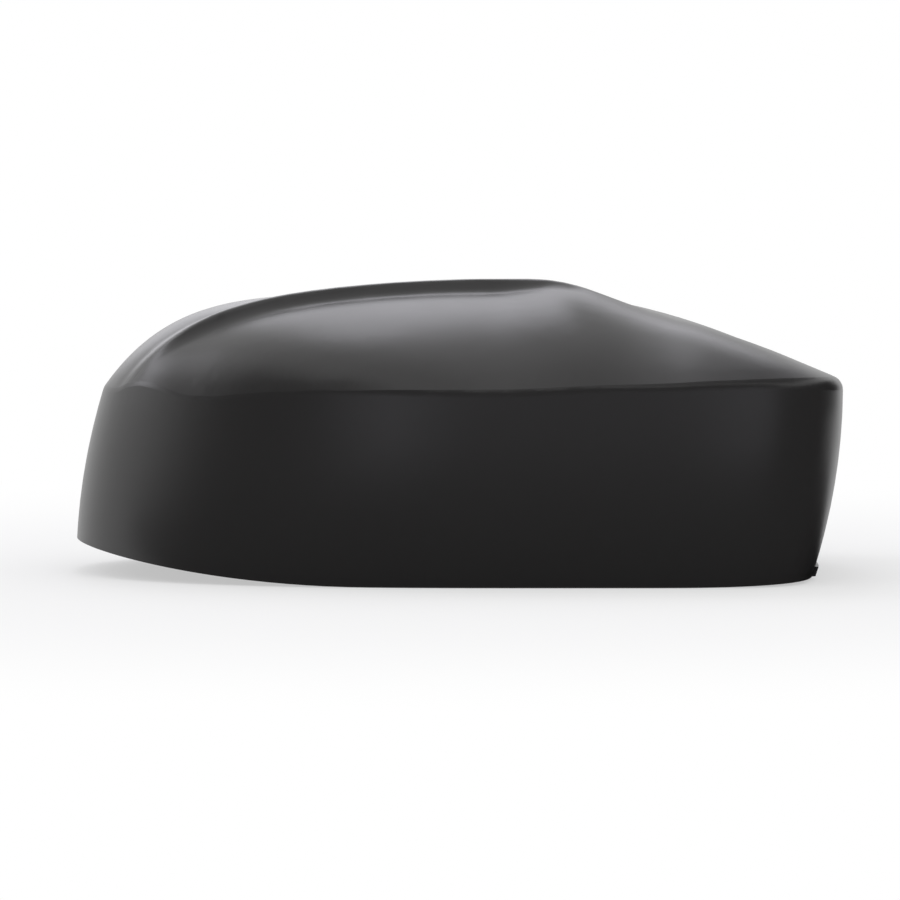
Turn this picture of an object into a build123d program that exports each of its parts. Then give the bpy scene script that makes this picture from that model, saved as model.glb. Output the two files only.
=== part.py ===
from build123d import *
from math import asinh, cos, pi, radians, sin, sinh, sqrt
import os

# Frame: X along the cover with +X at the inboard end, Y from the near wall to the far wall,
# Z up from the resting rim to the crown. Sizes are millimetres.

# Skirt: the wall between the rim and the crease, bowed in height and leaning at both ends
OUTBOARD_RIM_X = -115.0
OUTBOARD_LEAN = 9.3
INBOARD_BULGE_X = 115.8
INBOARD_LEAN = 9.4
LEAN_HEIGHT = 58.0
HALF_DEPTH = 72.0
WALL_BOW = 3.0
BOW_HEIGHT = 25.0
MIDDLE_X = 18.0

# Roundness of the four corners of the plan: 2 is an ellipse, more is squarer
NEAR_OUTBOARD_ROUND = 2.4
NEAR_INBOARD_ROUND = 6.0
FAR_INBOARD_ROUND = 3.6
FAR_OUTBOARD_ROUND = 2.4
OUTLINE_POINTS = 72

# Crown: its top, its reach in plan, the crease it falls to on each side and how steeply
CROWN_Z = 83.7
CROWN_OUTBOARD = MIDDLE_X - OUTBOARD_RIM_X - OUTBOARD_LEAN
CROWN_INBOARD = INBOARD_BULGE_X - MIDDLE_X
CROWN_SIDE = HALF_DEPTH - WALL_BOW
CREASE_OUTBOARD_Z = 56.7
CREASE_INBOARD_Z = 57.3
CREASE_NEAR_Z = 57.0
CREASE_FAR_Z = 53.0
CREASE_NEAR_INBOARD_RISE = 2.8
OUTBOARD_POWER = 6.3
INBOARD_BEND = 1.2
NEAR_POWER = 2.2
NEAR_OUTBOARD_POWER = 6.0
FAR_POWER = 3.2
CREASE_RADIUS = 4.5
CROWN_LIMIT = 1.06

# Brow: the raised edge that sweeps along the crown and rolls over on its far side
BROW_HEIGHT = 7.2
BROW_START_X = -152.0
BROW_FULL_X = 43.0
BROW_FADE_X = 20.0
BROW_END_X = 67.0
BROW_Y = -21.0
BROW_SLANT = -0.055
BROW_SWEEP = 13.2
BROW_SWEEP_SPAN = 100.0
BROW_NEAR_REACH = 50.0
BROW_ROLL = 9.0

# Lip: the steep last step up to the brow's edge, solid in the wall, and the softness of that edge
LIP_HEIGHT = 3.4
LIP_RUN = 4.5
LIP_START_X = -96.0
LIP_FULL_X = -70.0
LIP_FADE_X = 6.0
LIP_END_X = 50.0
LIP_EDGE = 0.6

# Levels that the skirt is lofted through, from below the rim to above the crown
SKIRT_MARGIN = 14.0
SKIRT_TOP_Z = CROWN_Z + BROW_HEIGHT + SKIRT_MARGIN
SKIRT_LEVEL_COUNT = 5

# Sections that the crown is lofted through, their points closer together at the brow
SECTION_MARGIN = 12.0
SECTION_START_X = OUTBOARD_RIM_X - SECTION_MARGIN
SECTION_END_X = INBOARD_BULGE_X + SECTION_MARGIN
SECTION_NEAR_REACH = HALF_DEPTH + BROW_Y + SECTION_MARGIN
SECTION_FAR_REACH = HALF_DEPTH - BROW_Y + SECTION_MARGIN
SECTION_COUNT = 27
SECTION_POINTS = 61
SECTION_CLUSTER = 3.0
SECTION_TOP_Z = SKIRT_TOP_Z + SECTION_MARGIN
SLOPE_STEP = 3.0

# Moulded wall and its rim, level in the middle and rising on an arc at both ends
WALL = 2.5
RIM_OUTBOARD_X = -25.0
RIM_OUTBOARD_RADIUS = 400.0
RIM_INBOARD_X = 64.0
RIM_INBOARD_RADIUS = 800.0

# Locating tab on the inboard rim
TAB_NEAR_Y = -42.0
TAB_FAR_Y = -8.0
TAB_HEIGHT = 4.0
TAB_REACH = 1.0

# Snap hooks inside the wall, placed by their direction from the middle of the plan
HOOK_ANGLES = (62.0, 118.0, 180.0, 242.0, 298.0)
HOOK_WIDTH = 12.0
HOOK_GAP = 4.0
HOOK_THICKNESS = 2.0
HOOK_TOP_Z = 34.0
HOOK_BRIDGE = 3.0
HOOK_TIP_Z = 12.0
HOOK_NOSE = 1.8
HOOK_NOSE_HEIGHT = 5.0
HOOK_GUSSET_HEIGHT = 9.0
HOOK_GUSSET_THICKNESS = 1.5
TURN_STEP = 0.001

# Locating pegs under the crown, each on a boss with fins
PEG_OUTBOARD_INSET = 41.0
PEG_INBOARD_INSET = 29.8
PEG_X = (OUTBOARD_RIM_X + PEG_OUTBOARD_INSET, INBOARD_BULGE_X - PEG_INBOARD_INSET)
PEG_Y = 2.0
PEG_RADIUS = 3.0
PEG_TIP_Z = 18.0
PEG_TIP_CHAMFER = 1.0
BOSS_RADIUS = 5.0
BOSS_Z = 44.0
FIN_COUNT = 4
FIN_THICKNESS = 1.6
FIN_REACH = 13.0
FIN_SETBACK = 4.0
FIN_RISE = 16.0

# Reach of the space that is cut away below, and how closely the rim is matched
ROOM = max(-OUTBOARD_RIM_X, INBOARD_BULGE_X, HALF_DEPTH) + SKIRT_MARGIN
RIM_MATCH = 0.01


def blend(value, start, end):
    """Smooth step from 0 at start to 1 at end."""
    share = min(max((value - start) / (end - start), 0.0), 1.0)
    return share**3 * (10.0 - 15.0 * share + 6.0 * share**2)


def corner_round(along, across):
    """Roundness exponent of the plan corner that a direction points into."""
    if along >= 0.0:
        return FAR_INBOARD_ROUND if across >= 0.0 else NEAR_INBOARD_ROUND
    return FAR_OUTBOARD_ROUND if across >= 0.0 else NEAR_OUTBOARD_ROUND


def outline_point(angle, z, inset):
    """Point of the skirt's plan outline in one direction at one height."""
    outboard = OUTBOARD_RIM_X + OUTBOARD_LEAN * (z / LEAN_HEIGHT) ** 2
    inboard = INBOARD_BULGE_X - INBOARD_LEAN * ((LEAN_HEIGHT - z) / LEAN_HEIGHT) ** 2
    depth = HALF_DEPTH - WALL_BOW * ((z - BOW_HEIGHT) / (LEAN_HEIGHT - BOW_HEIGHT)) ** 2
    along = cos(angle)
    across = sin(angle)
    power = corner_round(along, across)
    reach = (abs(along) ** power + abs(across) ** power) ** (-1.0 / power)
    length = inboard - MIDDLE_X if along >= 0.0 else MIDDLE_X - outboard
    return Vector(MIDDLE_X + (length - inset) * reach * along, (depth - inset) * reach * across, z)


def skirt_body(inset):
    """Solid skirt, lofted through the plan outlines."""
    shares = [index / OUTLINE_POINTS for index in range(OUTLINE_POINTS + 1)]
    sections = []
    for index in range(SKIRT_LEVEL_COUNT):
        z = -SKIRT_MARGIN + (SKIRT_TOP_Z + SKIRT_MARGIN) * index / (SKIRT_LEVEL_COUNT - 1)
        points = [outline_point(2.0 * pi * share, z, inset) for share in shares[:-1]]
        sections.append(Wire([Edge.make_spline(points, periodic=True, parameters=shares)]))
    return Solid.make_loft(sections)


def power_fall(radius, power):
    """Fall that grows with a power of the radius, and straight on past the crease."""
    inside = min(radius, CROWN_LIMIT)
    return inside**power + power * inside ** (power - 1.0) * (radius - inside)


def plain_crown(x, y):
    """Height of the crown without its brow."""
    along = (x - MIDDLE_X) / (CROWN_INBOARD if x >= MIDDLE_X else CROWN_OUTBOARD)
    across = y / CROWN_SIDE
    if along == 0.0 and across == 0.0:
        return CROWN_Z
    power = corner_round(along, across)
    radius = (abs(along) ** power + abs(across) ** power) ** (1.0 / power)
    end_share = along**2 / (along**2 + across**2)
    side_share = 1.0 - end_share
    corner_share = 4.0 * end_share * side_share
    if along >= 0.0:
        end_fall = (sqrt(1.0 + (INBOARD_BEND * radius) ** 2) - 1.0) / (sqrt(1.0 + INBOARD_BEND**2) - 1.0)
        end_crease = CREASE_INBOARD_Z
    else:
        end_fall = power_fall(radius, OUTBOARD_POWER)
        end_crease = CREASE_OUTBOARD_Z
    if across >= 0.0:
        side_fall = power_fall(radius, FAR_POWER)
        side_crease = CREASE_FAR_Z
        corner = 0.0
    else:
        side_fall = power_fall(radius, NEAR_POWER)
        side_crease = CREASE_NEAR_Z
        corner = CREASE_NEAR_INBOARD_RISE if along >= 0.0 else 0.0
        if along < 0.0:
            roll = power_fall(radius, NEAR_OUTBOARD_POWER)
            side_fall += corner_share * roll * (roll - side_fall)
    fall = end_share * end_fall + side_share * side_fall
    crease = end_share * end_crease + side_share * side_crease + corner_share * corner
    return crease + (CROWN_Z - crease) * (1.0 - fall)


def brow_line(x):
    """Where the brow's edge lies across the cover."""
    along = x - MIDDLE_X
    return BROW_Y + BROW_SLANT * along - BROW_SWEEP * (along / BROW_SWEEP_SPAN) ** 2


def swell_height(x, y, height):
    """Soft swelling of the crown up to the brow, and down again on its far side."""
    offset = y - brow_line(x)
    if offset < 0.0:
        return height * (1.0 - (offset / BROW_NEAR_REACH) ** 2)
    return height * (1.0 - blend(offset, 0.0, BROW_ROLL))


def brow_heights(x):
    """Height of the brow over the plain crown, and the lip's part of it."""
    brow = BROW_HEIGHT * blend(x, BROW_START_X, BROW_FULL_X) * (1.0 - blend(x, BROW_FADE_X, BROW_END_X))
    lip = LIP_HEIGHT * blend(x, LIP_START_X, LIP_FULL_X) * (1.0 - blend(x, LIP_FADE_X, LIP_END_X))
    return brow, lip


def crown_height(x, y):
    """Height of the outer crown surface, with the brow and its lip."""
    brow, lip = brow_heights(x)
    offset = y - brow_line(x)
    step = lip * (max(offset + LIP_RUN, 0.0) / LIP_RUN) ** 2
    near = swell_height(x, min(y, brow_line(x)), brow - lip) + step
    far = swell_height(x, max(y, brow_line(x)), brow)
    edge = LIP_EDGE * lip / LIP_HEIGHT
    return plain_crown(x, y) + (near + far - sqrt((near - far) ** 2 + edge**2)) / 2.0


def inner_crown(x, y):
    """Height of the crown that the inner surface follows, which leaves the lip solid."""
    brow, lip = brow_heights(x)
    return plain_crown(x, y) + swell_height(x, y, brow - lip)


def lowered_crown(x, y, depth):
    """Height of the inner surface, one wall below the crown, measured square to it."""
    slope_x = (inner_crown(x + SLOPE_STEP, y) - inner_crown(x - SLOPE_STEP, y)) / (2.0 * SLOPE_STEP)
    slope_y = (inner_crown(x, y + SLOPE_STEP) - inner_crown(x, y - SLOPE_STEP)) / (2.0 * SLOPE_STEP)
    return inner_crown(x, y) - depth * sqrt(1.0 + slope_x**2 + slope_y**2)


def space_above(depth):
    """Solid over the crown surface, lofted through sections across the cover."""
    shares = [index / (SECTION_POINTS - 1) for index in range(SECTION_POINTS)]
    near_stretch = asinh(SECTION_NEAR_REACH / SECTION_CLUSTER)
    far_stretch = asinh(SECTION_FAR_REACH / SECTION_CLUSTER)
    sections = []
    for index in range(SECTION_COUNT):
        x = SECTION_START_X + (SECTION_END_X - SECTION_START_X) * index / (SECTION_COUNT - 1)
        middle = brow_line(x)
        points = []
        for share in shares:
            stretch = near_stretch if share < 0.5 else far_stretch
            y = middle + SECTION_CLUSTER * sinh((2.0 * share - 1.0) * stretch)
            height = lowered_crown(x, y, depth) if depth > 0.0 else crown_height(x, y)
            points.append(Vector(x, y, height))
        far_top = Vector(x, points[-1].Y, SECTION_TOP_Z)
        near_top = Vector(x, points[0].Y, SECTION_TOP_Z)
        sides = [
            Edge.make_spline(points, parameters=shares),
            Edge.make_line(points[-1], far_top),
            Edge.make_line(far_top, near_top),
            Edge.make_line(near_top, points[0]),
        ]
        sections.append(Wire(sides))
    return Solid.make_loft(sections)


def domed_body(inset):
    """Skirt closed by the crown, with the crease between them rounded."""
    body = skirt_body(inset) - space_above(inset)
    crease = body.edges().sort_by(SortBy.LENGTH)[-1]
    return fillet(crease, CREASE_RADIUS - inset)


def rim_rise(x):
    """Height of the rim along the cover."""
    if x < RIM_OUTBOARD_X:
        return RIM_OUTBOARD_RADIUS - sqrt(RIM_OUTBOARD_RADIUS**2 - (RIM_OUTBOARD_X - x) ** 2)
    if x > RIM_INBOARD_X:
        return RIM_INBOARD_RADIUS - sqrt(RIM_INBOARD_RADIUS**2 - (x - RIM_INBOARD_X) ** 2)
    return 0.0


def rim_arc(start, end):
    """Arc of the rim's profile between two places along the cover."""
    middle = (start + end) / 2.0
    return ThreePointArc((start, rim_rise(start)), (middle, rim_rise(middle)), (end, rim_rise(end)))


def space_below():
    """Everything under the rim, one profile carried across the whole cover."""
    outline = [
        rim_arc(-ROOM, RIM_OUTBOARD_X),
        Line((RIM_OUTBOARD_X, 0.0), (RIM_INBOARD_X, 0.0)),
        rim_arc(RIM_INBOARD_X, ROOM),
        Polyline((ROOM, rim_rise(ROOM)), (ROOM, -ROOM), (-ROOM, -ROOM), (-ROOM, rim_rise(-ROOM))),
    ]
    return extrude(Plane.XZ * make_face(outline), amount=ROOM, both=True)


def inboard_tab():
    """Locating tab that follows the inboard wall a little outside it."""
    tab_y = (TAB_NEAR_Y + TAB_FAR_Y) / 2.0
    length = INBOARD_BULGE_X - MIDDLE_X
    block = Box(length, TAB_FAR_Y - TAB_NEAR_Y, 2.0 * TAB_HEIGHT)
    return skirt_body(-TAB_REACH) & (Pos(INBOARD_BULGE_X, tab_y, 0.0) * block)


def hook_plane(angle):
    """Upright plane at the inner wall, its X pointing into the cover and its Y up."""
    place = outline_point(angle, HOOK_TOP_Z, WALL)
    before = outline_point(angle - TURN_STEP, HOOK_TOP_Z, WALL)
    along = outline_point(angle + TURN_STEP, HOOK_TOP_Z, WALL) - before
    inward = Vector(-along.Y, along.X, 0.0).normalized()
    return Plane(Vector(place.X, place.Y, 0.0), x_dir=inward, z_dir=inward.cross(Vector(0.0, 0.0, 1.0)))


def snap_hook(angle):
    """Hook on a bridge from the wall, with two gussets over the bridge."""
    plane = hook_plane(radians(angle))
    back = HOOK_GAP + HOOK_THICKNESS
    catch_z = HOOK_TIP_Z + HOOK_NOSE_HEIGHT
    leg = Polyline(
        (-WALL, HOOK_TOP_Z),
        (back, HOOK_TOP_Z),
        (back, catch_z),
        (back + HOOK_NOSE, catch_z),
        (back, HOOK_TIP_Z),
        (HOOK_GAP, HOOK_TIP_Z),
        (HOOK_GAP, HOOK_TOP_Z - HOOK_BRIDGE),
        (-WALL, HOOK_TOP_Z - HOOK_BRIDGE),
        close=True,
    )
    gusset = Polyline(
        (-WALL, HOOK_TOP_Z), (back, HOOK_TOP_Z), (-WALL, HOOK_TOP_Z + HOOK_GUSSET_HEIGHT), close=True
    )
    hook = extrude(plane * make_face(leg), amount=HOOK_WIDTH / 2.0, both=True)
    for start in (-HOOK_WIDTH / 2.0, HOOK_WIDTH / 2.0 - HOOK_GUSSET_THICKNESS):
        hook += extrude(plane.offset(start) * make_face(gusset), amount=HOOK_GUSSET_THICKNESS)
    return hook


def locating_peg(x):
    """Peg on a boss that reaches up into the crown, with fins round the boss."""
    tip = Pos(x, PEG_Y, PEG_TIP_Z)
    peg = extrude(tip * Circle(PEG_RADIUS), amount=BOSS_Z - PEG_TIP_Z)
    peg = chamfer(peg.edges().group_by(Axis.Z)[0], PEG_TIP_CHAMFER)
    top_z = CROWN_Z + BROW_HEIGHT
    peg += extrude(Pos(x, PEG_Y, BOSS_Z) * Circle(BOSS_RADIUS), amount=top_z - BOSS_Z)
    fin_z = BOSS_Z + FIN_SETBACK
    fin = Polyline(
        (0.0, fin_z),
        (BOSS_RADIUS, fin_z),
        (FIN_REACH, fin_z + FIN_RISE),
        (FIN_REACH, top_z),
        (0.0, top_z),
        close=True,
    )
    plate = extrude(Plane.XZ * make_face(fin), amount=FIN_THICKNESS / 2.0, both=True)
    for index in range(FIN_COUNT):
        peg += Pos(x, PEG_Y, 0.0) * Rot(0.0, 0.0, 360.0 * index / FIN_COUNT) * plate
    return peg


def is_rim(face):
    """Whether a face of a cut body is the rim that the space below left on it."""
    if face.geom_type == GeomType.PLANE:
        return abs(face.center().Z) < RIM_MATCH and face.normal_at().Z < 0.0
    if face.geom_type == GeomType.CYLINDER:
        return face.radius > min(RIM_OUTBOARD_RADIUS, RIM_INBOARD_RADIUS) - RIM_MATCH
    return False


def joined_shell(skin, hollow):
    """Skin and hollow joined at the rim into one solid wall."""
    skin_rim = skin.faces().filter_by(is_rim).sort_by(Axis.X)
    hollow_rim = hollow.faces().filter_by(is_rim).sort_by(Axis.X)
    faces = [face for face in skin.faces() + hollow.faces() if not is_rim(face)]
    for wide, narrow in zip(skin_rim, hollow_rim, strict=True):
        faces += (wide - narrow).faces()
    return Solid(Shell(faces))


below = space_below()
skin = domed_body(0.0) + inboard_tab() - below
fittings = [snap_hook(angle) for angle in HOOK_ANGLES] + [locating_peg(x) for x in PEG_X]
hollow = domed_body(WALL) - fittings - below
cover = joined_shell(skin, hollow)
cover.label = "mirror_cover"
os.makedirs("parts", exist_ok=True)
export_step(cover, "parts/mirror_cover.step")
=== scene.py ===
"""Looks of a car's wing mirror cover: its moulded black finish, a plain studio and the camera."""

import logging
from dataclasses import dataclass
from enum import Enum
from math import cos, pi, radians, sin
from typing import Any

import bmesh
import bpy
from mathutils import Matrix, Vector

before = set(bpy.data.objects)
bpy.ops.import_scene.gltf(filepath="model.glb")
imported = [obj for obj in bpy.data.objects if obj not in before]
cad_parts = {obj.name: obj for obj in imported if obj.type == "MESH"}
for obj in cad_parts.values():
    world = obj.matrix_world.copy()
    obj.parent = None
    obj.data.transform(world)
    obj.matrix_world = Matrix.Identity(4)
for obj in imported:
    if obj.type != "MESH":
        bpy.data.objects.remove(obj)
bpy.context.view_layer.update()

Pair = tuple[float, float]
Triple = tuple[float, float, float]

MM = 0.001
WHITE = "#ffffff"
LOG = logging.getLogger("wing_mirror_cover")

# The sRGB curve is straight near black and a power curve above that.
SRGB_STRAIGHT_END = 0.04045
SRGB_STRAIGHT_SLOPE = 12.92
SRGB_OFFSET = 0.055
SRGB_POWER = 2.4


def linear_colour(hex_code: str) -> tuple[float, float, float, float]:
    """Turn an sRGB hex colour into the linear colour that shaders take.

    Args:
        hex_code: Colour such as "#1c1c1d".

    Returns:
        Linear red, green, blue and an alpha of one.
    """
    channels = [int(hex_code[start:start + 2], 16) / 255.0 for start in (1, 3, 5)]
    red, green, blue = (
        value / SRGB_STRAIGHT_SLOPE
        if value <= SRGB_STRAIGHT_END
        else ((value + SRGB_OFFSET) / (1.0 + SRGB_OFFSET)) ** SRGB_POWER
        for value in channels
    )
    return (red, green, blue, 1.0)


def add_node(
    tree: bpy.types.NodeTree,
    kind: str,
    settings: dict[str, Any] | None = None,
    values: dict[str | int, Any] | None = None,
    links: dict[str | int, bpy.types.NodeSocket] | None = None,
) -> bpy.types.Node:
    """Add one node with its settings, its fixed inputs and its links.

    Args:
        tree: Node tree that takes the node.
        kind: Blender's name of the node type.
        settings: Attributes of the node.
        values: Input sockets that hold a fixed value.
        links: Input sockets and the outputs that feed them.

    Returns:
        The new node.
    """
    node = tree.nodes.new(kind)
    for name, value in (settings or {}).items():
        setattr(node, name, value)
    for socket, value in (values or {}).items():
        node.inputs[socket].default_value = value
    for socket, source in (links or {}).items():
        tree.links.new(source, node.inputs[socket])
    return node


def background_share(tree: bpy.types.NodeTree) -> bpy.types.NodeSocket:
    """Work out whether a ray sees the studio's background itself.

    Args:
        tree: Node tree of a material or of the world.

    Returns:
        An output that is one for camera, glossy and transmission rays, and zero for the rest.
    """
    path = add_node(tree, "ShaderNodeLightPath")
    seen = add_node(
        tree,
        "ShaderNodeMath",
        {"operation": "ADD"},
        links={0: path.outputs["Is Camera Ray"], 1: path.outputs["Is Glossy Ray"]},
    )
    total = add_node(
        tree,
        "ShaderNodeMath",
        {"operation": "ADD", "use_clamp": True},
        links={0: seen.outputs[0], 1: path.outputs["Is Transmission Ray"]},
    )
    return total.outputs[0]


def new_material(name: str) -> bpy.types.Material:
    """Make an empty node material.

    Args:
        name: Name of the material.

    Returns:
        A material with no nodes in its tree.
    """
    material = bpy.data.materials.new(name)
    material.use_nodes = True
    material.node_tree.nodes.clear()
    return material


@dataclass(frozen=True)
class MouldedAbs:
    """Black ABS, injection moulded in a spark-eroded tool.

    The tool's fine pits leave a satin grain that spreads every reflection. The melt's flow leaves the
    gloss a little uneven over the length of a finger.
    """

    name: str = "abs_black_moulded_satin"
    colour: str = "#282727"
    ior: float = 1.53
    specular_level: float = 0.5
    roughness_smooth: float = 0.29
    roughness_dull: float = 0.34
    grain_mm: float = 0.55
    grain_depth_mm: float = 0.006
    grain_layers: float = 2.0
    grain_layer_share: float = 0.6
    flow_mm: float = 45.0
    flow_layers: float = 3.0
    flow_layer_share: float = 0.5
    flow_low: float = 0.3
    flow_high: float = 0.7

    def material(self) -> bpy.types.Material:
        """Build the node material.

        Returns:
            The finished material.
        """
        material = new_material(self.name)
        tree = material.node_tree
        place = add_node(tree, "ShaderNodeTexCoord")
        # Real pits are about 0.1 mm wide. They are drawn coarser here, so that a render can show them.
        grain = add_node(
            tree,
            "ShaderNodeTexNoise",
            values={
                "Scale": 1.0 / (self.grain_mm * MM),
                "Detail": self.grain_layers,
                "Roughness": self.grain_layer_share,
            },
            links={"Vector": place.outputs["Object"]},
        )
        flow = add_node(
            tree,
            "ShaderNodeTexNoise",
            values={
                "Scale": 1.0 / (self.flow_mm * MM),
                "Detail": self.flow_layers,
                "Roughness": self.flow_layer_share,
            },
            links={"Vector": place.outputs["Object"]},
        )
        gloss = add_node(
            tree,
            "ShaderNodeMapRange",
            values={
                "From Min": self.flow_low,
                "From Max": self.flow_high,
                "To Min": self.roughness_smooth,
                "To Max": self.roughness_dull,
            },
            links={"Value": flow.outputs["Fac"]},
        )
        bump = add_node(
            tree,
            "ShaderNodeBump",
            values={"Strength": 1.0, "Distance": self.grain_depth_mm * MM},
            links={"Height": grain.outputs["Fac"]},
        )
        surface = add_node(
            tree,
            "ShaderNodeBsdfPrincipled",
            values={
                "Base Color": linear_colour(self.colour),
                "Metallic": 0.0,
                "IOR": self.ior,
                "Specular IOR Level": self.specular_level,
            },
            links={"Roughness": gloss.outputs["Result"], "Normal": bump.outputs["Normal"]},
        )
        add_node(tree, "ShaderNodeOutputMaterial", links={"Surface": surface.outputs[0]})
        return material


@dataclass(frozen=True)
class GlowPaintedAcrylic:
    """Matt white acrylic table top with a painted glow; no lamp lights it from below.

    Its white emission, seen by camera, glossy and transmission rays, is a painted glow: at half share by the
    object, so that the object's shadow on it stays faint, and in full further out, where it fades to plain
    white.
    """

    name: str = "acrylic_white_painted_glow"
    colour: str = "#f2f2f2"
    glow: float = 0.5
    shaded_radius: float = 0.16
    white_radius: float = 0.42

    def material(self) -> bpy.types.Material:
        """Build the node material.

        Returns:
            The finished material.
        """
        material = new_material(self.name)
        tree = material.node_tree
        surface = add_node(tree, "ShaderNodeBsdfDiffuse", values={"Color": linear_colour(self.colour)})
        # Painted glow: white emission mixed into the table top to lift its shadow, with no lamp below it.
        light = add_node(
            tree,
            "ShaderNodeEmission",
            values={"Color": linear_colour(WHITE), "Strength": 1.0},
        )
        place = add_node(tree, "ShaderNodeNewGeometry")
        radius = add_node(
            tree,
            "ShaderNodeVectorMath",
            {"operation": "LENGTH"},
            links={0: place.outputs["Position"]},
        )
        outside = add_node(
            tree,
            "ShaderNodeMapRange",
            {"interpolation_type": "SMOOTHSTEP"},
            values={
                "From Min": self.shaded_radius,
                "From Max": self.white_radius,
                "To Min": self.glow,
            },
            links={"Value": radius.outputs["Value"]},
        )
        share = add_node(
            tree,
            "ShaderNodeMath",
            {"operation": "MULTIPLY"},
            links={0: outside.outputs["Result"], 1: background_share(tree)},
        )
        mixed = add_node(
            tree,
            "ShaderNodeMixShader",
            links={0: share.outputs[0], 1: surface.outputs[0], 2: light.outputs[0]},
        )
        add_node(tree, "ShaderNodeOutputMaterial", links={"Surface": mixed.outputs[0]})
        return material


@dataclass(frozen=True)
class BlackNet:
    """Black net on a studio flag, in layers that end one after the other.

    It gives back almost no light. It thins out in one direction, so that its edge draws no line in a
    reflection. Its open share is what the full layers let through.
    """

    name: str
    thins_toward: Triple
    full_at: float
    clear_at: float
    open_share: float
    colour: str = "#050505"

    def material(self) -> bpy.types.Material:
        """Build the node material.

        Returns:
            The finished material.
        """
        material = new_material(self.name)
        tree = material.node_tree
        place = add_node(tree, "ShaderNodeNewGeometry")
        along = add_node(
            tree,
            "ShaderNodeVectorMath",
            {"operation": "DOT_PRODUCT"},
            values={1: self.thins_toward},
            links={0: place.outputs["Position"]},
        )
        let_through = add_node(
            tree,
            "ShaderNodeMapRange",
            {"interpolation_type": "SMOOTHSTEP"},
            values={
                "From Min": self.full_at,
                "From Max": self.clear_at,
                "To Min": self.open_share,
            },
            links={"Value": along.outputs["Value"]},
        )
        cloth = add_node(tree, "ShaderNodeBsdfDiffuse", values={"Color": linear_colour(self.colour)})
        gap = add_node(tree, "ShaderNodeBsdfTransparent")
        net = add_node(
            tree,
            "ShaderNodeMixShader",
            links={0: let_through.outputs["Result"], 1: cloth.outputs[0], 2: gap.outputs[0]},
        )
        add_node(tree, "ShaderNodeOutputMaterial", links={"Surface": net.outputs[0]})
        return material


@dataclass
class MirrorCover:
    """The moulded cover itself, one CAD node that keeps its mesh."""

    node: str = "mirror_cover"
    finish: MouldedAbs = MouldedAbs()

    def dress(self) -> bpy.types.Object:
        """Give the cover its finish.

        Returns:
            The dressed CAD object.
        """
        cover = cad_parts[self.node]
        material = self.finish.material()
        cover.data.materials.clear()
        cover.data.materials.append(material)
        return cover


class LampRole(Enum):
    """The studio's lamps, each named for what it does or where it stands."""

    KEY_UPPER = "key_upper"
    KEY_LOWER = "key_lower"
    LOW_BACK = "low_back"
    LEFT_SIDE = "left_side"
    LEFT_LOW = "left_low"
    LEFT_FRONT = "left_front"
    RIGHT_FRONT = "right_front"


@dataclass(frozen=True)
class Softbox:
    """A rectangular lamp with an even face, turned to the cover.

    Its azimuth counts from the back of the cover, to the right as the camera sees it.
    """

    role: LampRole
    azimuth: float
    elevation: float
    size: Pair
    radiance: float
    colour: str = "#f7f6ff"
    distance: float = 1.5
    target: Triple = (0.0, 0.0, 0.06)

    def build(self) -> bpy.types.Object:
        """Make the lamp and turn it to its target.

        Returns:
            The lamp object.
        """
        lamp = bpy.data.lights.new(self.role.value, "AREA")
        lamp.shape = "RECTANGLE"
        lamp.size, lamp.size_y = self.size
        lamp.color = linear_colour(self.colour)[:3]
        lamp.energy = self.radiance * pi * self.size[0] * self.size[1]
        holder = bpy.data.objects.new(self.role.value, lamp)
        bpy.context.scene.collection.objects.link(holder)
        turn = radians(self.azimuth)
        rise = radians(self.elevation)
        outward = Vector((cos(rise) * sin(turn), cos(rise) * cos(turn), sin(rise)))
        holder.location = Vector(self.target) + self.distance * outward
        holder.rotation_euler = (-outward).to_track_quat("-Z", "Y").to_euler()
        holder.visible_camera = False
        return holder


def upright_panel(start: Pair, end: Pair, bottom: float, top: float) -> tuple[Triple, ...]:
    """Work out the corners of a panel that stands over a straight line.

    Args:
        start: Where the line starts, as seen from above, in metres.
        end: Where the line ends.
        bottom: Height of the panel's lower edge.
        top: Height of the panel's upper edge.

    Returns:
        The four corners, once round the panel.
    """
    return ((*start, bottom), (*end, bottom), (*end, top), (*start, top))


def level_panel(height: float, *outline: Pair) -> tuple[Triple, ...]:
    """Work out the corners of a panel that lies level.

    Args:
        height: Height of the panel, in metres.
        *outline: Its corners, as seen from above.

    Returns:
        The corners, once round the panel.
    """
    return tuple((x, y, height) for x, y in outline)


@dataclass(frozen=True)
class Flag:
    """A black panel that darkens what the cover reflects, and touches no other light.

    Its net is full at one place and clear at another, both measured along the direction it thins in.
    """

    name: str
    corners: tuple[Triple, ...]
    full_at: float
    clear_at: float
    thins_toward: Triple = (0.0, 1.0, 0.0)
    open_share: float = 0.0

    def build(self) -> bpy.types.Object:
        """Make the panel.

        Returns:
            The panel object.
        """
        mesh = bpy.data.meshes.new(self.name)
        mesh.from_pydata(self.corners, [], [tuple(range(len(self.corners)))])
        panel = bpy.data.objects.new(self.name, mesh)
        bpy.context.scene.collection.objects.link(panel)
        net = BlackNet(
            f"net_black_{self.name}",
            self.thins_toward,
            self.full_at,
            self.clear_at,
            self.open_share,
        )
        mesh.materials.append(net.material())
        panel.visible_camera = False
        panel.visible_diffuse = False
        panel.visible_shadow = False
        panel.visible_transmission = False
        return panel


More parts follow.
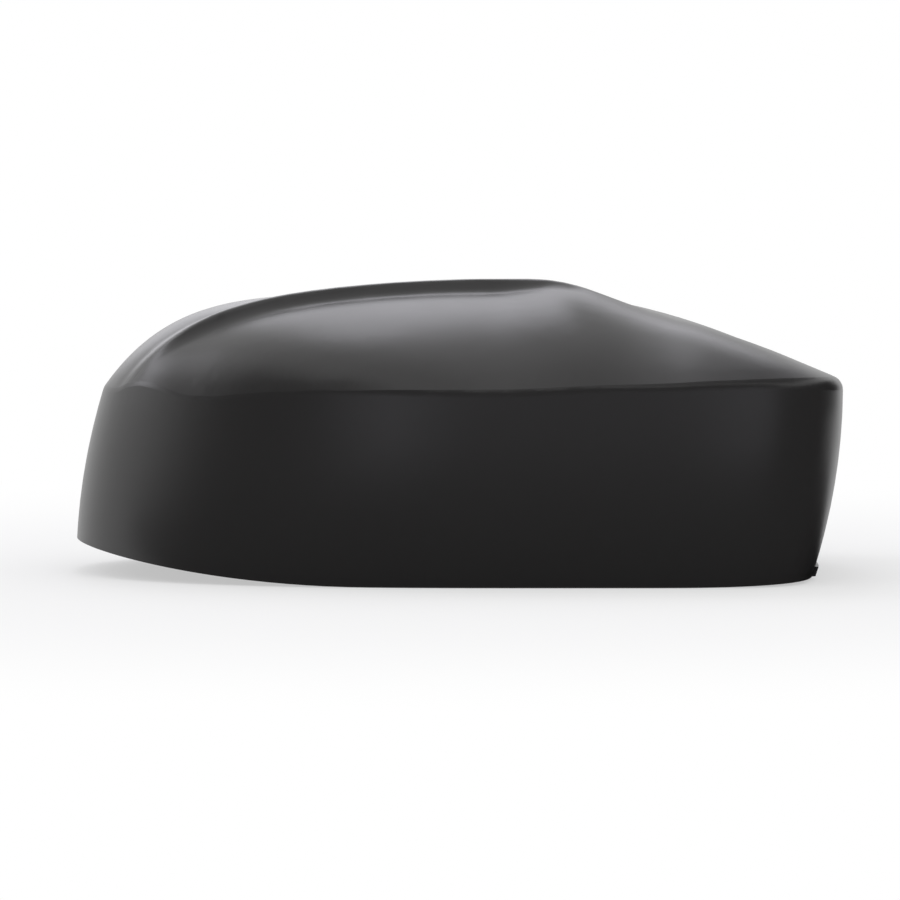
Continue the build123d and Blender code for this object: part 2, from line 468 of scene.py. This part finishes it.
@dataclass(frozen=True)
class FlagSet:
    """The black flags round the cover, with their places in metres.

    Upright flags stand in front, on the left in two heights, and on the right. One lies on the table, one
    hangs overhead, and a scrim lies close above the cover's inboard end. An end is how far back a flag goes.
    """

    reach: float = 1.7
    top: float = 3.8
    left_split: float = 1.0
    left_end: float = 0.3
    left_low_end: float = 0.05
    right_top: float = 1.5
    right_end: float = 3.2
    floor_lift: float = 0.2 * MM
    floor_front_end: float = -0.055
    floor_front_right: float = 0.09
    floor_corner: Pair = (0.1, 0.0)
    floor_end: float = 0.25
    floor_end_left: float = 0.45
    overhead_start: float = -0.6
    overhead_start_left: float = -0.25
    overhead_end: float = 0.1
    overhead_end_left: float = 0.0
    scrim_height: float = 0.21
    scrim_right: float = 0.19
    scrim_start: float = -0.11
    scrim_start_left: float = 0.021
    scrim_end: float = 0.19
    scrim_end_left: float = 0.157

    def upright_flags(self) -> tuple[Flag, ...]:
        """Lay out the flags that stand round the cover.

        Returns:
            The front flag, the two on the left and the one on the right.
        """
        front_left = (-self.reach, -self.reach)
        front_right = (self.reach, -self.reach)
        return (
            Flag(
                "front_flag",
                upright_panel(front_left, front_right, 0.0, self.top),
                full_at=-self.reach,
                clear_at=0.0,
            ),
            Flag(
                "left_flag",
                upright_panel(front_left, (-self.reach, self.left_end), self.left_split, self.top),
                full_at=-0.9,
                clear_at=self.left_end,
            ),
            Flag(
                "left_low_flag",
                upright_panel(front_left, (-self.reach, self.left_low_end), 0.0, self.left_split),
                full_at=-1.5,
                clear_at=self.left_low_end,
            ),
            Flag(
                "right_flag",
                upright_panel(front_right, (self.reach, self.right_end), 0.0, self.right_top),
                full_at=1.4,
                clear_at=self.right_end,
            ),
        )

    def level_flags(self) -> tuple[Flag, ...]:
        """Lay out the flags that lie level.

        Returns:
            The flag on the table, the one overhead and the scrim.
        """
        floor = level_panel(
            self.floor_lift,
            (-self.reach, -self.reach),
            (self.reach, -self.reach),
            (self.reach, self.floor_end),
            (self.floor_end_left, self.floor_end),
            self.floor_corner,
            (self.floor_front_right, self.floor_front_end),
            (-self.reach, self.floor_front_end),
        )
        overhead = level_panel(
            self.top,
            (self.overhead_start_left, self.overhead_start),
            (self.reach, self.overhead_start),
            (self.reach, self.overhead_end),
            (self.overhead_end_left, self.overhead_end),
        )
        scrim = level_panel(
            self.scrim_height,
            (self.scrim_start_left, self.scrim_start),
            (self.scrim_right, self.scrim_start),
            (self.scrim_right, self.scrim_end),
            (self.scrim_end_left, self.scrim_end),
        )
        return (
            Flag("floor_flag", floor, full_at=-0.03, clear_at=self.floor_end),
            Flag("top_flag", overhead, full_at=-0.3, clear_at=self.overhead_end),
            # The scrim thins square to its slanted side.
            Flag(
                "inboard_scrim",
                scrim,
                full_at=-0.090,
                clear_at=-0.065,
                thins_toward=(-0.91, 0.414, 0.0),
                open_share=0.15,
            ),
        )

    def build(self) -> list[bpy.types.Object]:
        """Make all the flags.

        Returns:
            The panels, the upright ones first.
        """
        return [flag.build() for flag in self.upright_flags() + self.level_flags()]


@dataclass
class Studio:
    """Plain studio: white surroundings, a table top with a painted glow, and softboxes and black flags round
    the cover.
    """

    ambient: float = 0.8
    floor_radius: float = 4.0
    floor_drop: float = 0.1 * MM
    floor_sides: int = 96
    lamps: tuple[Softbox, ...] = (
        Softbox(LampRole.KEY_UPPER, azimuth=-4.0, elevation=57.5, size=(0.33, 0.56), radiance=2.7),
        Softbox(LampRole.KEY_LOWER, azimuth=0.0, elevation=39.0, size=(0.80, 0.42), radiance=1.7),
        Softbox(LampRole.LOW_BACK, azimuth=-14.0, elevation=18.5, size=(0.60, 0.42), radiance=1.1),
        Softbox(LampRole.LEFT_SIDE, azimuth=-58.0, elevation=42.0, size=(0.48, 0.38), radiance=2.2),
        Softbox(LampRole.LEFT_LOW, azimuth=-74.0, elevation=27.0, size=(0.46, 0.34), radiance=3.0),
        Softbox(LampRole.LEFT_FRONT, azimuth=-167.0, elevation=18.0, size=(0.29, 0.80), radiance=0.95),
        Softbox(LampRole.RIGHT_FRONT, azimuth=159.0, elevation=18.0, size=(0.60, 0.80), radiance=0.65),
    )
    flags: FlagSet = FlagSet()

    def build_world(self) -> None:
        """Make the white surroundings, dimmer for the light that they throw on the object."""
        world = bpy.data.worlds.new("white_studio")
        world.use_nodes = True
        tree = world.node_tree
        tree.nodes.clear()
        strength = add_node(
            tree,
            "ShaderNodeMath",
            {"operation": "MULTIPLY_ADD"},
            values={1: 1.0 - self.ambient, 2: self.ambient},
            links={0: background_share(tree)},
        )
        white = add_node(
            tree,
            "ShaderNodeBackground",
            values={"Color": linear_colour(WHITE)},
            links={"Strength": strength.outputs[0]},
        )
        add_node(tree, "ShaderNodeOutputWorld", links={"Surface": white.outputs[0]})
        # Sampled as a lamp, the world would not tell the kinds of ray apart.
        world.cycles.sampling_method = "NONE"
        bpy.context.scene.world = world

    def build_floor(self) -> bpy.types.Object:
        """Make the table top.

        Returns:
            The table top.
        """
        mesh = bpy.data.meshes.new("table_top")
        disc = bmesh.new()
        bmesh.ops.create_circle(disc, cap_ends=True, segments=self.floor_sides, radius=self.floor_radius)
        disc.to_mesh(mesh)
        disc.free()
        floor = bpy.data.objects.new("table_top", mesh)
        bpy.context.scene.collection.objects.link(floor)
        floor.location.z = -self.floor_drop
        mesh.materials.append(GlowPaintedAcrylic().material())
        return floor

    def build(self) -> list[bpy.types.Object]:
        """Make the whole studio.

        Returns:
            Floor, lamps and flags.
        """
        self.build_world()
        lamps = [lamp.build() for lamp in self.lamps]
        panels = self.flags.build()
        return [self.build_floor(), *lamps, *panels]


@dataclass
class PhotoCamera:
    """Camera at the photo's viewing angle: a long lens, nearly level with the cover."""

    aim: Triple = (-1.5 * MM, 0.0, 36.2 * MM)
    distance: float = 1.8
    elevation: float = 3.5
    lens_mm: float = 236.9
    sensor_mm: float = 36.0

    def build(self) -> bpy.types.Object:
        """Make the camera and use it for the scene.

        Returns:
            The camera object.
        """
        lens = bpy.data.cameras.new("photo_camera")
        lens.lens = self.lens_mm
        lens.sensor_width = self.sensor_mm
        camera = bpy.data.objects.new("photo_camera", lens)
        bpy.context.scene.collection.objects.link(camera)
        angle = radians(self.elevation)
        back = Vector((0.0, -cos(angle), sin(angle)))
        camera.location = Vector(self.aim) + self.distance * back
        camera.rotation_euler = (-back).to_track_quat("-Z", "Y").to_euler()
        bpy.context.scene.camera = camera
        return camera


def main() -> None:
    """Dress the cover, build the studio round it and set up the camera."""
    logging.basicConfig(level=logging.INFO, format="%(message)s")
    bpy.context.scene.view_settings.view_transform = "Standard"
    cover = MirrorCover().dress()
    LOG.info("dressed %s", cover.name)
    for item in Studio().build():
        LOG.info("studio: %s", item.name)
    camera = PhotoCamera().build()
    LOG.info("camera: %s", camera.name)


if __name__ == "__main__":
    main()
